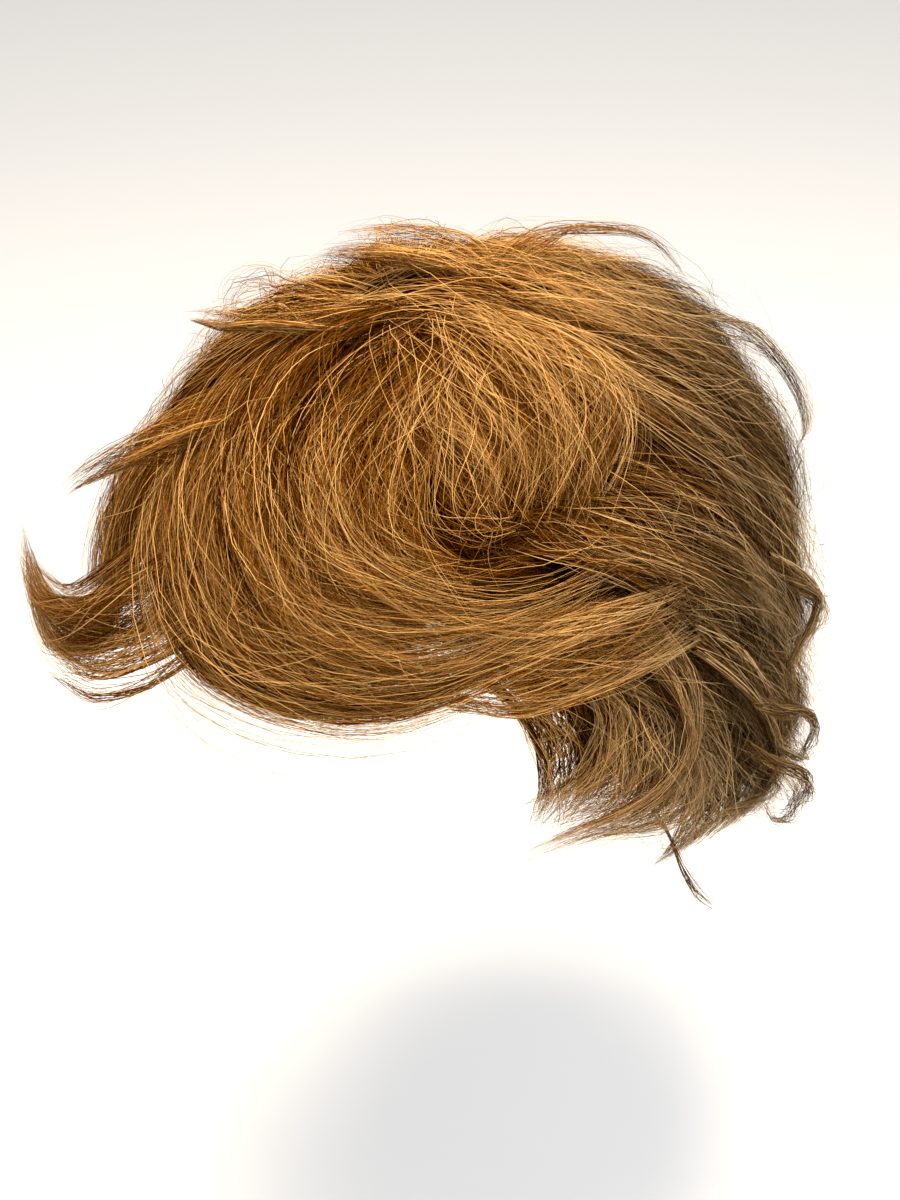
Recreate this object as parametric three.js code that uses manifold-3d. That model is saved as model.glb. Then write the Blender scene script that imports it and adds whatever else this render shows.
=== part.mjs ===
// A short layered wig: a stretch cap cut for an average head, and six sections of swept and curled hair
// sewn to it. Millimetres and degrees, +Z up. The origin is the inside of the cap at the crown, where the
// head bears; the face looks along -Y and +X is the wearer's left.
import * as THREE from 'three';
import { mergeVertices } from 'three/addons/utils/BufferGeometryUtils.js';
import Module from 'manifold-3d';

const wasm = await Module();
wasm.setup();

// The head that the cap fits: four half sizes about a centre below the crown
const HEAD_HALF_WIDTH = 76;
const HEAD_HALF_FRONT = 95;
const HEAD_HALF_BACK = 97;
const CROWN_RISE = 98;
const NECK_DROP = 125;
const HEAD_CENTRE = new THREE.Vector3(0, 0, -CROWN_RISE);

// The cap's wall, the weft pad that the hair grows from, and the gaps that pads and locks keep from others
const CAP_WALL = 1.5;
const PAD_FROM = 2.8;
const PAD_TO = 8;
const GAP = 0.35;
const LOCK_GAP = 1.4;

// Facets
const AROUND_STEP = 12;
const CAP_RINGS = 7;
const CROWN_RINGS = 2;
const LOCK_SPANS = 6;

// How thin the hollow between two locks is beside their ridges, and how far every other ridge stands proud
const HOLLOW = 0.4;
const PROUD = 2.5;

// A short step, as a share of a sweep's length or width, for reading its slope
const NEAR = 0.02;

// The cap's edge: degrees round from the front, and degrees down from the crown
const RIM = [
  { around: 0, down: 58 }, // hairline over the brow
  { around: 40, down: 63 }, // temple
  { around: 60, down: 82 },
  { around: 74, down: 101 }, // ear tab
  { around: 86, down: 96 },
  { around: 98, down: 90 }, // arch over the ear
  { around: 114, down: 100 },
  { around: 138, down: 116 }, // nape corner
  { around: 180, down: 119 }, // nape
];

// Where each section's weft pad lies: degrees round from the front, and degrees down from the crown
const CROWN_PAD = 30;
const SEAM = 0.5;
const PADS = {
  fringe: { from: -48, to: 48, top: CROWN_PAD + SEAM, low: 180 },
  left_side_hair: { from: 48 + SEAM, to: 122, top: CROWN_PAD + SEAM, low: 180 },
  right_side_hair: { from: -122, to: -48 - SEAM, top: CROWN_PAD + SEAM, low: 180 },
  back_hair: { from: 122 + SEAM, to: 238 - SEAM, top: CROWN_PAD + SEAM, low: 84 },
  nape_hair: { from: 122 + SEAM, to: 238 - SEAM, top: 84 + SEAM, low: 180 },
};

// The hair, one row for each sweep of locks. A lock runs through five stations: root, rise, belly, bend and
// tip. A station is [side, front, lift]: degrees from the crown to the wearer's left and to the front, as on
// an orange peel laid flat, and millimetres above the scalp. The locks lie evenly from the first to the last.
// thick is a lock's depth, free the share of its length that hangs apart from its neighbours at the end, and
// gather how far the locks draw together there.
const CROWN_SWEEPS = [
  {
    name: 'over_the_top',
    locks: 6,
    thick: 9,
    free: 0.2,
    gather: 0,
    first: [[3, 6, 6], [20, 3, 12], [38, -10, 16], [54, -28, 20], [67, -46, 20]],
    last: [[-5, 0, 6], [-8, -13, 8], [-10, -32, 10], [-12, -53, 14], [-14, -73, 16]],
  },
  {
    name: 'to_the_right',
    locks: 6,
    thick: 9,
    free: 0.25,
    gather: 0,
    first: [[-6, 11, 6], [-20, 24, 17], [-37, 36, 26], [-51, 44, 31], [-64, 46, 33]],
    last: [[-8, 1, 6], [-14, -13, 9], [-20, -33, 12], [-26, -53, 15], [-31, -72, 16]],
  },
  {
    name: 'whorl',
    locks: 4,
    thick: 9,
    free: 0.15,
    gather: 0.1,
    first: [[4, 8, 6], [15, 6, 14], [28, 5, 20], [38, 9, 22], [46, 23, 18]],
    last: [[-3, 13, 6], [5, 20, 10], [17, 25, 13], [29, 26, 15], [39, 30, 15]],
  },
];
const FRINGE_SWEEPS = [
  {
    name: 'swoop',
    locks: 6,
    thick: 9,
    free: 0.09,
    gather: 0,
    first: [[-6, 33, 6], [-12, 54, 26], [6, 74, 25], [43, 62, 20], [68, 14, 20]],
    last: [[12, 31, 6], [10, 40, 19], [23, 50, 22], [45, 42, 22], [61, 14, 19]],
  },
  {
    name: 'heart',
    locks: 2,
    thick: 9,
    free: 0.2,
    gather: 0,
    first: [[17, 29, 6], [18, 36, 13], [26, 42, 16], [37, 41, 16], [46, 30, 14]],
    last: [[25, 25, 6], [28, 29, 10], [33, 33, 12], [38, 32, 12], [43, 26, 11]],
  },
  {
    name: 'fall',
    locks: 3,
    thick: 9,
    free: 0.25,
    gather: 0,
    first: [[-2, 34, 6], [-7, 50, 19], [-5, 62, 22], [2, 71, 21], [16, 74, 18]],
    last: [[-22, 25, 6], [-36, 42, 25], [-46, 55, 33], [-52, 67, 37], [-54, 76, 36]],
  },
  {
    name: 'flip',
    locks: 2,
    thick: 12,
    free: 0.12,
    gather: 0.75,
    first: [[-20, 28, 6], [-26, 52, 28], [-34, 70, 26], [-48, 71, 46], [-49, 61, 62]],
    last: [[-24, 26, 6], [-32, 54, 30], [-36, 77, 30], [-52, 77, 53], [-51, 60, 63]],
  },
];
const SIDE_SWEEPS = [
  {
    name: 'upper',
    locks: 4,
    thick: 9,
    free: 0.2,
    gather: 0,
    first: [[36, 27, 6], [44, 21, 14], [54, 13, 20], [66, 3, 23], [78, -9, 22]],
    last: [[33, -15, 6], [46, -23, 14], [60, -34, 20], [74, -46, 24], [86, -57, 25]],
  },
  {
    name: 'middle',
    locks: 4,
    thick: 9,
    free: 0.25,
    gather: 0,
    first: [[53, 35, 6], [62, 26, 9], [74, 14, 12], [87, 3, 19], [97, -6, 23]],
    last: [[56, -26, 6], [68, -36, 9], [80, -46, 16], [92, -54, 29], [102, -58, 38]],
  },
  {
    name: 'sideburn',
    locks: 2,
    thick: 5,
    free: 0.3,
    gather: 0,
    first: [[58, 46, 6], [67, 44, 8], [78, 45, 11], [87, 51, 12], [94, 63, 10]],
    last: [[68, 33, 6], [78, 31, 8], [88, 34, 10], [95, 42, 11], [99, 54, 10]],
  },
  {
    name: 'ear_curl',
    locks: 4,
    thick: 9,
    free: 0.3,
    gather: 0,
    first: [[61, 39, 6], [73, 31, 10], [82, 28, 16], [87, 38, 19], [82, 60, 15]],
    last: [[76, 20, 6], [88, 10, 10], [101, 5, 19], [106, 18, 25], [96, 50, 21]],
  },
  {
    name: 'behind_ear',
    locks: 4,
    thick: 9,
    free: 0.35,
    gather: 0,
    first: [[80, 2, 6], [93, -5, 11], [107, -9, 22], [117, 0, 29], [119, 18, 30]],
    last: [[74, -44, 6], [84, -53, 13], [94, -60, 26], [104, -64, 40], [114, -52, 48]],
  },
];
const BACK_SWEEPS = [
  {
    name: 'upper_back',
    locks: 6,
    thick: 9,
    free: 0.25,
    gather: 0,
    first: [[38, -30, 6], [50, -46, 13], [60, -62, 18], [67, -76, 22], [72, -88, 22]],
    last: [[-38, -30, 6], [-50, -46, 13], [-60, -62, 18], [-67, -76, 22], [-72, -88, 22]],
  },
];
const NAPE_SWEEPS = [
  {
    name: 'left_nape',
    locks: 3,
    thick: 9,
    free: 0.35,
    gather: 0,
    first: [[67, -66, 6], [73, -73, 11], [78, -79, 22], [83, -85, 36], [91, -87, 46]],
    last: [[9, -94, 6], [9, -103, 10], [10, -111, 20], [11, -118, 33], [15, -122, 43]],
  },
];

// Finishes: golden brown hair on top, ashier brown at the sides and back, and a tan cap
const GOLDEN = new THREE.MeshStandardMaterial({ color: 0x9c6428, roughness: 0.5, metalness: 0 });
const BROWN = new THREE.MeshStandardMaterial({ color: 0x84572a, roughness: 0.5, metalness: 0 });
const TAN_CLOTH = new THREE.MeshStandardMaterial({ color: 0x7a5a3c, roughness: 0.9, metalness: 0 });

// A point of the head, or above it
function scalpPoint(side, front, lift) {
  const down = THREE.MathUtils.degToRad(Math.hypot(side, front));
  const around = Math.atan2(side, front);
  const out = new THREE.Vector3(
    Math.sin(down) * Math.sin(around),
    -Math.sin(down) * Math.cos(around),
    Math.cos(down),
  );
  const halfLength = out.y < 0 ? HEAD_HALF_FRONT : HEAD_HALF_BACK;
  const halfHeight = out.z > 0 ? CROWN_RISE : NECK_DROP;
  const reach = 1 / Math.hypot(out.x / HEAD_HALF_WIDTH, out.y / halfLength, out.z / halfHeight);
  return out.multiplyScalar(reach + lift).add(HEAD_CENTRE);
}

// The same, from degrees round and degrees down
function roundPoint(around, down, lift) {
  const turn = THREE.MathUtils.degToRad(around);
  return scalpPoint(down * Math.sin(turn), down * Math.cos(turn), lift);
}

function rimDown(around) {
  const turn = Math.abs(THREE.MathUtils.euclideanModulo(around + 180, 360) - 180);
  const next = Math.max(1, RIM.findIndex((row) => row.around >= turn));
  const [before, after] = [RIM[next - 1], RIM[next]];
  const share = THREE.MathUtils.smoothstep(turn, before.around, after.around);
  return THREE.MathUtils.lerp(before.down, after.down, share);
}

function geometryOf(points, faces) {
  const geometry = new THREE.BufferGeometry().setFromPoints(points);
  geometry.setIndex(faces.flat());
  return geometry;
}

// Two triangles of a quad seen from outside with a, b, c, d turning left
function quad(a, b, c, d) {
  return [[a, b, c], [a, c, d]];
}

// A domed wall round the crown, down to a rim
function dome(liftIn, liftOut, rim, rings) {
  const turns = 360 / AROUND_STEP;
  const points = [scalpPoint(0, 0, liftOut), scalpPoint(0, 0, liftIn)];
  const faces = [];
  const at = (wall, ring, turn) => 2 + (wall * rings + ring - 1) * turns + (turn % turns);
  for (const lift of [liftOut, liftIn]) {
    for (let ring = 1; ring <= rings; ring++) {
      for (let turn = 0; turn < turns; turn++) {
        const around = turn * AROUND_STEP;
        points.push(roundPoint(around, (rim(around) * ring) / rings, lift));
      }
    }
  }
  for (let turn = 0; turn < turns; turn++) {
    faces.push([0, at(0, 1, turn), at(0, 1, turn + 1)], [1, at(1, 1, turn + 1), at(1, 1, turn)]);
    for (let ring = 1; ring < rings; ring++) {
      const corners = [[ring, turn], [ring + 1, turn], [ring + 1, turn + 1], [ring, turn + 1]];
      faces.push(...quad(...corners.map((corner) => at(0, ...corner))));
      faces.push(...quad(...corners.reverse().map((corner) => at(1, ...corner))));
    }
    const [here, next] = [turn, turn + 1];
    faces.push(...quad(at(0, rings, here), at(1, rings, here), at(1, rings, next), at(0, rings, next)));
  }
  return geometryOf(points, faces);
}

// A solid between two matching grids of points, given column by column, closed round its edges
function slabBetween(outside, inside, columns, spans) {
  const grid = (columns + 1) * (spans + 1);
  const at = ([column, span], wall) => wall * grid + column * (spans + 1) + span;
  const faces = [];
  const border = [];
  for (let column = 0; column < columns; column++) {
    for (let span = 0; span < spans; span++) {
      const corners = [[column, span], [column, span + 1], [column + 1, span + 1], [column + 1, span]];
      faces.push(...quad(...corners.map((corner) => at(corner, 0))));
      faces.push(...quad(...corners.reverse().map((corner) => at(corner, 1))));
    }
  }
  for (let span = 0; span < spans; span++) {
    border.push([0, span]);
  }
  for (let column = 0; column < columns; column++) {
    border.push([column, spans]);
  }
  for (let span = spans; span > 0; span--) {
    border.push([columns, span]);
  }
  for (let column = columns; column > 0; column--) {
    border.push([column, 0]);
  }
  border.forEach((here, number) => {
    const next = border[(number + 1) % border.length];
    faces.push(...quad(at(next, 0), at(here, 0), at(here, 1), at(next, 1)));
  });
  const middle = at([columns >> 1, spans >> 1], 0);
  const ahead = outside[middle + 1].clone().sub(outside[middle]);
  const aside = outside[middle + spans + 1].clone().sub(outside[middle]);
  const facesOut = ahead.cross(aside).dot(outside[middle].clone().sub(inside[middle])) > 0;
  return geometryOf([...outside, ...inside], facesOut ? faces : faces.map((face) => face.reverse()));
}

// A wall over part of the scalp, from one side round to another and from one line down to another
function patch({ from, to, top, low }, liftIn, liftOut, grow) {
  const columns = Math.ceil((to - from) / AROUND_STEP);
  const spans = Math.ceil((Math.min(low, rimDown((from + to) / 2)) - top) / AROUND_STEP);
  const [outside, inside] = [[], []];
  for (let column = 0; column <= columns; column++) {
    const around = THREE.MathUtils.lerp(from - grow, to + grow, column / columns);
    const end = Math.min(low, rimDown(around)) + grow;
    for (let span = 0; span <= spans; span++) {
      const down = THREE.MathUtils.lerp(top - grow, end, span / spans);
      outside.push(roundPoint(around, down, liftOut + grow));
      inside.push(roundPoint(around, down, liftIn - grow));
    }
  }
  return slabBetween(outside, inside, columns, spans);
}

// How full a lock is at a share of its length: gathered at the root, full at the belly, drawn to a thin end
function fullness(along) {
  return (0.5 + 0.5 * THREE.MathUtils.smoothstep(along, 0, 0.35)) * (1 - 0.88 * along ** 3);
}

// The locks of a sweep lie side by side in one ridged solid: a column runs down the ridge of each lock, where
// it is full, and one down each hollow, where it is thin and stops short so that the locks' ends are free.
// Grown by a clearance, it is the smooth sheath that all of its locks lie in.
function sweepSolid({ locks, thick, free, gather, first, last }, grow) {
  const columns = 2 * locks;
  const sheath = grow > 0;
  const [start, finish] = [first, last].map((stations) => {
    const route = stations.map((station) => new THREE.Vector3(...station));
    return new THREE.CatmullRomCurve3(route, false, 'catmullrom', 0.5);
  });
  const place = (share, along) => {
    const drawn = THREE.MathUtils.lerp(share, 0.5, gather * along ** 2);
    const at = start.getPoint(along).lerp(finish.getPoint(along), drawn);
    return scalpPoint(at.x, at.y, at.z);
  };
  // How a lock lies at a point: its run, the way to the next lock, the room beside it and the way out
  const lie = (share, along) => {
    const middle = place(share, along);
    const [before, after] = [Math.max(0, along - NEAR), Math.min(1, along + NEAR)];
    const ahead = place(share, after).sub(place(share, before)).normalize();
    const aside = place(share + NEAR, along).sub(place(share - NEAR, along));
    const wide = aside.length() / (2 * NEAR * (locks - 1));
    const out = ahead.clone().cross(aside.normalize()).normalize();
    return { middle, ahead, aside, wide, out };
  };
  // The face that looks away from the head at the belly is the outside all along, even where a lock flips
  const belly = lie(0.5, 0.5);
  const facing = Math.sign(belly.out.dot(belly.middle.sub(HEAD_CENTRE)));
  const [outside, inside] = [[], []];
  for (let column = 0; column <= columns; column++) {
    const share = (column - 1) / (columns - 2);
    const ridge = column % 2 === 1 || (sheath && column % columns !== 0);
    const proud = column % 4 === 3 ? PROUD : 0;
    const edge = column % columns === 0 ? Math.sign(column - locks) * grow : 0;
    for (let span = 0; span <= LOCK_SPANS; span++) {
      const step = span / LOCK_SPANS;
      const along = step - (ridge ? 0 : free * step ** 3);
      const { middle, ahead, aside, wide, out } = lie(share, along);
      out.multiplyScalar(facing);
      middle.addScaledVector(aside, edge);
      const end = span % LOCK_SPANS === 0 ? Math.sign(2 * span - LOCK_SPANS) * grow : 0;
      middle.addScaledVector(ahead, end);
      const full = Math.min(thick * fullness(step), wide);
      const half = (full / 2) * (ridge ? 1 : HOLLOW) + grow;
      const rise = THREE.MathUtils.smoothstep(along, 0, 0.3);
      outside.push(middle.clone().addScaledVector(out, half + rise * (sheath ? PROUD : proud)));
      inside.push(middle.clone().addScaledVector(out, rise * (sheath ? 0 : proud) - half));
    }
  }
  return slabBetween(outside, inside, columns, LOCK_SPANS);
}

function mirrored(sweep) {
  const flip = (stations) => stations.map(([side, front, lift]) => [-side, front, lift]);
  return { ...sweep, first: flip(sweep.first), last: flip(sweep.last) };
}

function solidOf(geometry) {
  geometry.deleteAttribute('normal');
  geometry.deleteAttribute('uv');
  const merged = mergeVertices(geometry);
  return new wasm.Manifold(
    new wasm.Mesh({
      numProp: 3,
      vertProperties: new Float32Array(merged.getAttribute('position').array),
      triVerts: new Uint32Array(merged.index.array),
    }),
  );
}

function meshOf(name, solid, material) {
  const { vertProperties, triVerts } = solid.getMesh();
  const geometry = new THREE.BufferGeometry();
  geometry.setAttribute('position', new THREE.BufferAttribute(vertProperties, 3));
  geometry.setIndex(new THREE.BufferAttribute(triVerts, 1));
  const mesh = new THREE.Mesh(geometry, material);
  mesh.name = name;
  return mesh;
}

// A section's sweeps sewn to its pad as one solid, each grown by a clearance if asked
function section(pad, sweeps, padGrow, lockGrow) {
  return sweeps.reduce((hair, sweep) => hair.add(solidOf(sweepSolid(sweep, lockGrow))), pad(padGrow));
}

const bothSides = (sweeps) => [...sweeps, ...sweeps.map(mirrored)];
const crownPad = (grow) =>
  solidOf(dome(PAD_FROM - grow, PAD_TO + grow, () => CROWN_PAD + grow, CROWN_RINGS));
const sidePad = (name) => (grow) => solidOf(patch(PADS[name], PAD_FROM, PAD_TO, grow));
const RIGHT_SWEEPS = SIDE_SWEEPS.map(mirrored);
const sections = [
  { name: 'crown_hair', pad: crownPad, sweeps: CROWN_SWEEPS, material: GOLDEN },
  { name: 'fringe', pad: sidePad('fringe'), sweeps: FRINGE_SWEEPS, material: GOLDEN },
  { name: 'left_side_hair', pad: sidePad('left_side_hair'), sweeps: SIDE_SWEEPS, material: BROWN },
  { name: 'right_side_hair', pad: sidePad('right_side_hair'), sweeps: RIGHT_SWEEPS, material: BROWN },
  { name: 'back_hair', pad: sidePad('back_hair'), sweeps: BACK_SWEEPS, material: BROWN },
  { name: 'nape_hair', pad: sidePad('nape_hair'), sweeps: bothSides(NAPE_SWEEPS), material: BROWN },
];

const wig = new THREE.Group();
wig.add(meshOf('wig_cap', solidOf(dome(0, CAP_WALL, rimDown, CAP_RINGS)), TAN_CLOTH));

// Each section keeps clear of the pads of all the others and of the locks that lie over it
let taken = null;
for (const { name, pad, sweeps, material } of sections) {
  let hair = section(pad, sweeps, 0, 0);
  for (const other of sections) {
    hair = other.name === name ? hair : hair.subtract(other.pad(GAP));
  }
  hair = taken ? hair.subtract(taken) : hair;
  const [whole] = hair.decompose().sort((a, b) => b.volume() - a.volume());
  wig.add(meshOf(name, whole, material));
  const clearance = section(pad, sweeps, GAP, LOCK_GAP);
  taken = taken ? taken.add(clearance) : clearance;
}

export default wig;
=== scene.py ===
import math

import bpy
import numpy as np
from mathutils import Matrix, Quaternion, Vector


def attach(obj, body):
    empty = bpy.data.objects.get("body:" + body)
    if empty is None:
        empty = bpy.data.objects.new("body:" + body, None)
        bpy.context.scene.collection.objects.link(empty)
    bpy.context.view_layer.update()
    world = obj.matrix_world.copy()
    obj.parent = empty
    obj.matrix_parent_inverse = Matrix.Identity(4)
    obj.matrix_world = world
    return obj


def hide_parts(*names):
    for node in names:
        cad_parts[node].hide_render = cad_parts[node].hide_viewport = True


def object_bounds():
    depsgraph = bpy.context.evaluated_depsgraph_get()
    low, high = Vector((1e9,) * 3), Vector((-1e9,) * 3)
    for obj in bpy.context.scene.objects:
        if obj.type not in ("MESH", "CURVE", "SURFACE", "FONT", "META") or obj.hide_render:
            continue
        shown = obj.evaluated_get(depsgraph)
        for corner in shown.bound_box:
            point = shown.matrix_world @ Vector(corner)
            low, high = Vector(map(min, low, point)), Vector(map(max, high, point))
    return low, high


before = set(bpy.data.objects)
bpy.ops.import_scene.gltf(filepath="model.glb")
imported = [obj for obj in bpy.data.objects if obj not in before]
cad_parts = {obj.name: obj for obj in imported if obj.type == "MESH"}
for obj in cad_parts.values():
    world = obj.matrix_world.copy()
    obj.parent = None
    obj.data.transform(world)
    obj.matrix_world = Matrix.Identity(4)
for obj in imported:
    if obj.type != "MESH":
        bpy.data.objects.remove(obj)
cad_box = [list(corner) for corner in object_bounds()]

# Cap
# A stretch cap of tan net, cut in panels to the shape of an average head. Rows of weft tape run round it,
# and its edge is turned over a narrow elastic from the brow, down the ear tabs and round to the nape.
HEAD_CENTRE = np.array([0.0, 0.0, -0.098])
HEAD_RADIUS = 0.1
HEAD_HALF_WIDTH = 0.076
HEAD_HALF_FRONT = 0.095
HEAD_HALF_BACK = 0.097
CROWN_RISE = 0.098
NECK_DROP = 0.125
CAP_WALL = 0.0015
HEM_DEPTH = 0.006
HEM_SWELL = 0.0007
CAP_TURNS = 120
CAP_RINGS = 30
CAP_EYE = 0.002
TAN = (0.195, 0.105, 0.046, 1.0)
TAN_SHADE = (0.075, 0.036, 0.014, 1.0)
NET_DEPTH = 0.0006
NET_SHARE = 0.6
WEAVE = [
    {"name": "net_down", "way": "X", "rows": 260, "uneven": 0.3},
    {"name": "net_round", "way": "Y", "rows": 110, "uneven": 0.3},
    {"name": "weft_tape", "way": "Y", "rows": 13, "uneven": 0.0},
]
CAP_RIM = [
    {"around": 0, "down": 58},
    {"around": 40, "down": 63},
    {"around": 60, "down": 82},
    {"around": 74, "down": 101},
    {"around": 86, "down": 96},
    {"around": 98, "down": 90},
    {"around": 114, "down": 100},
    {"around": 138, "down": 116},
    {"around": 180, "down": 119},
]


def smooth(share):
    """Eases from 0 to 1 as the share does"""
    share = np.clip(share, 0, 1)
    return share * share * (3 - 2 * share)


def scalp(side, front, lift):
    """Points of the head: degrees from the crown to the left and the front, and metres above the scalp"""
    down = np.radians(np.hypot(side, front))
    around = np.arctan2(side, front)
    out = np.stack([np.sin(down) * np.sin(around), -np.sin(down) * np.cos(around), np.cos(down)], -1)
    half_length = np.where(out[..., 1] < 0, HEAD_HALF_FRONT, HEAD_HALF_BACK)
    half_height = np.where(out[..., 2] > 0, CROWN_RISE, NECK_DROP)
    halves = np.stack([np.full_like(half_length, HEAD_HALF_WIDTH), half_length, half_height], -1)
    reach = 1 / np.linalg.norm(out / halves, axis=-1)
    return HEAD_CENTRE + out * (reach + lift)[..., None]


def rim_down(around):
    """How far down from the crown the cap's edge lies, in degrees"""
    turn = np.abs((around + 180) % 360 - 180)
    turns = np.array([row["around"] for row in CAP_RIM], float)
    downs = np.array([row["down"] for row in CAP_RIM], float)
    before = np.clip(np.searchsorted(turns, turn, side="right") - 1, 0, len(turns) - 2)
    share = smooth((turn - turns[before]) / (turns[before + 1] - turns[before]))
    return downs[before] + (downs[before + 1] - downs[before]) * share


def mesh_from(name, points, quads, places, shades):
    """A smooth mesh with a place on the bake map for each point, and the numbers that its finish reads"""
    mesh = bpy.data.meshes.new(name)
    mesh.vertices.add(len(points))
    mesh.vertices.foreach_set("co", np.ascontiguousarray(points, np.float32).ravel())
    mesh.loops.add(quads.size)
    mesh.loops.foreach_set("vertex_index", quads.astype(np.int32).ravel())
    mesh.polygons.add(len(quads))
    mesh.polygons.foreach_set("loop_start", np.arange(0, quads.size, 4, dtype=np.int32))
    mesh.polygons.foreach_set("use_smooth", np.ones(len(quads), bool))
    layer = mesh.uv_layers.new(name="OFBake")
    layer.data.foreach_set("uv", places[quads.ravel()].astype(np.float32).ravel())
    for shade, values in shades.items():
        attribute = mesh.attributes.new(shade, "FLOAT", "POINT")
        attribute.data.foreach_set("value", values.astype(np.float32))
    mesh.update(calc_edges=True)
    mesh.validate()
    piece = bpy.data.objects.new(name, mesh)
    bpy.context.scene.collection.objects.link(piece)
    return piece


def net_cloth():
    """Stretch net over weft tape: fine holes in both ways of the cloth, and a ridge at each row of tape"""
    material = bpy.data.materials.new("net_cloth")
    material.use_nodes = True
    nodes, links = material.node_tree.nodes, material.node_tree.links
    shader = nodes["Principled BSDF"]
    shader.inputs["Roughness"].default_value = 0.88
    shader.inputs["Sheen Weight"].default_value = 0.25
    place = nodes.new("ShaderNodeUVMap")
    place.uv_map = "OFBake"
    heights = {}
    for row in WEAVE:
        wave = nodes.new("ShaderNodeTexWave")
        wave.bands_direction = row["way"]
        wave.inputs["Scale"].default_value = row["rows"] / (2 * math.pi)
        wave.inputs["Distortion"].default_value = row["uneven"]
        links.new(place.outputs["UV"], wave.inputs["Vector"])
        heights[row["name"]] = wave.outputs["Fac"]
    net = nodes.new("ShaderNodeMath")
    net.operation = "MULTIPLY"
    links.new(heights["net_down"], net.inputs[0])
    links.new(heights["net_round"], net.inputs[1])
    cloth = nodes.new("ShaderNodeMath")
    cloth.operation = "MULTIPLY_ADD"
    cloth.inputs[1].default_value = NET_SHARE
    links.new(net.outputs[0], cloth.inputs[0])
    links.new(heights["weft_tape"], cloth.inputs[2])
    colour = nodes.new("ShaderNodeValToRGB")
    colour.color_ramp.elements[0].color = TAN_SHADE
    colour.color_ramp.elements[1].color = TAN
    links.new(cloth.outputs[0], colour.inputs["Fac"])
    links.new(colour.outputs["Color"], shader.inputs["Base Color"])
    bump = nodes.new("ShaderNodeBump")
    bump.inputs["Strength"].default_value = 0.5
    bump.inputs["Distance"].default_value = NET_DEPTH
    links.new(cloth.outputs[0], bump.inputs["Height"])
    links.new(bump.outputs["Normal"], shader.inputs["Normal"])
    return material


around = np.linspace(0, 360, CAP_TURNS, endpoint=False)[:, None]
ring = np.linspace(CAP_EYE, 1, CAP_RINGS)[None, :]
cap_down = rim_down(around) * ring
above_rim = HEAD_RADIUS * np.radians(rim_down(around) - cap_down)
near_hem = smooth(1 - above_rim / HEM_DEPTH)
turn = np.radians(around)
outer = scalp(cap_down * np.sin(turn), cap_down * np.cos(turn), CAP_WALL + HEM_SWELL * near_hem)
inner = scalp(cap_down * np.sin(turn), cap_down * np.cos(turn), 0 * near_hem)
loop = np.concatenate([outer, inner[:, ::-1]], 1)
across = loop.shape[1]
cell = np.arange(CAP_TURNS)[:, None] * across + np.arange(across)[None, :]
past = np.roll(cell, -1, 0)
cap_quads = np.stack([cell, np.roll(cell, -1, 1), np.roll(past, -1, 1), past], -1).reshape(-1, 4)
round_share = np.broadcast_to(around / 360, (CAP_TURNS, across))
down_share = np.broadcast_to(np.concatenate([ring, 2 - ring[:, ::-1]], 1) / 2, (CAP_TURNS, across))
cap_places = np.stack([round_share, down_share], -1).reshape(-1, 2)
cap = mesh_from("cap_net", loop.reshape(-1, 3), cap_quads, cap_places, {})
cap.data.materials.append(net_cloth())
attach(cap, "root")
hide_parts("wig_cap")

# Crown hair
# Long golden hair tied to the crown's net, laid out from the whorl: over the top to the back, down to the
# right, and round in a loose whorl over the left temple. Each lock is a bundle of fine drawn strands.
MM = 0.001
ROOT_LIFT = 6.5 * MM
NEAR = 0.01
HOLLOW = 0.4
PROUD = 0.0025
PROUD_BY = 0.3
ROOT_DEPTH = 0.5
FULL_BY = 0.35
TIP_THINNED = 0.88
PAD_LIFTS = (0.0028, 0.0055)
PAD_COLUMNS = 48
PAD_ROWS = 10
# The pad's tones stay dark as painted shade among the roots
PAD_SHADE_TONES = (0.0, 0.25)
MASS_DEPTH = 0.45
MASS_EDGE = 0.4
MASS_REACH = 0.7
MASS_ROWS = 14
# The mass's tones stay dark as painted shade deep inside the hair
MASS_SHADE_TONES = (0.0, 0.22)
MASS_ABOVE = 5
RIBBONS_ABOVE = 4
GATHERED = 0.5
LOCK_COLUMNS = 4
LOCK_FIBRES = 45
FIBRE = 0.00024
FIBRE_RANGE = 5000
LOOSE_ENDS = 0.015
SHEET_EDGES = (0.02, 0.98)
CELL_ACROSS = (0.15, 0.85)
CELL_ALONG = (0.05, 0.95)
# The way towards the wearer's left and back along which the hair turns from gold to the ash brown of
# painted cool light
COOL_LIT_WAY = np.array([0.69, 0.72, 0.0])
WAVE_TURNS = 1.5
RIPPLE = {
    "least": 0.3, "turns": (0.4, 1), "growth": 0.7,
    "wisp_turns": 1.1, "lift_turns": 1.0, "lift_sway": 0.5, "lift_curl": 0.6,
}
WISP = {
    "on_ridge": 0.4, "ridge_spread": 0.2, "width": 0.3, "depth": 0.001, "taper": 0.6, "lean": 7,
    "buried": 0.5, "buried_start": 0.5, "start_bias": 2.0, "buried_by": 0.3, "buried_clear": 0.003,
    "cut_back": 0.4, "cut_bias": 2.4, "starts_over": 0.06, "stops_over": 0.12, "free": 0.6, "deepest": -0.6,
}
RIBBON = {"roll": 0.5, "widths": (0.65, 1.2), "narrowed": 0.7}
# Strand tones: depth lightens strands that lie high and darkens low ones, and hollow darkens those between
# locks, as painted light and shade; wisp and strand vary the tone at random, and patch lock by lock along
# the length
TONE = {
    "depth": 0.16, "wisp": 0.12, "strand": 0.15, "hollow": 0.18,
    "patch": 0.08, "patch_each_lock": 1.9, "patch_along": 5,
}
SHADE_PLACES = (0.08, 0.58, 1.0)
# How far the fibre streak moves the tone; its dark lows paint shade between fibres
FIBRE_CONTRAST = 0.9

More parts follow.
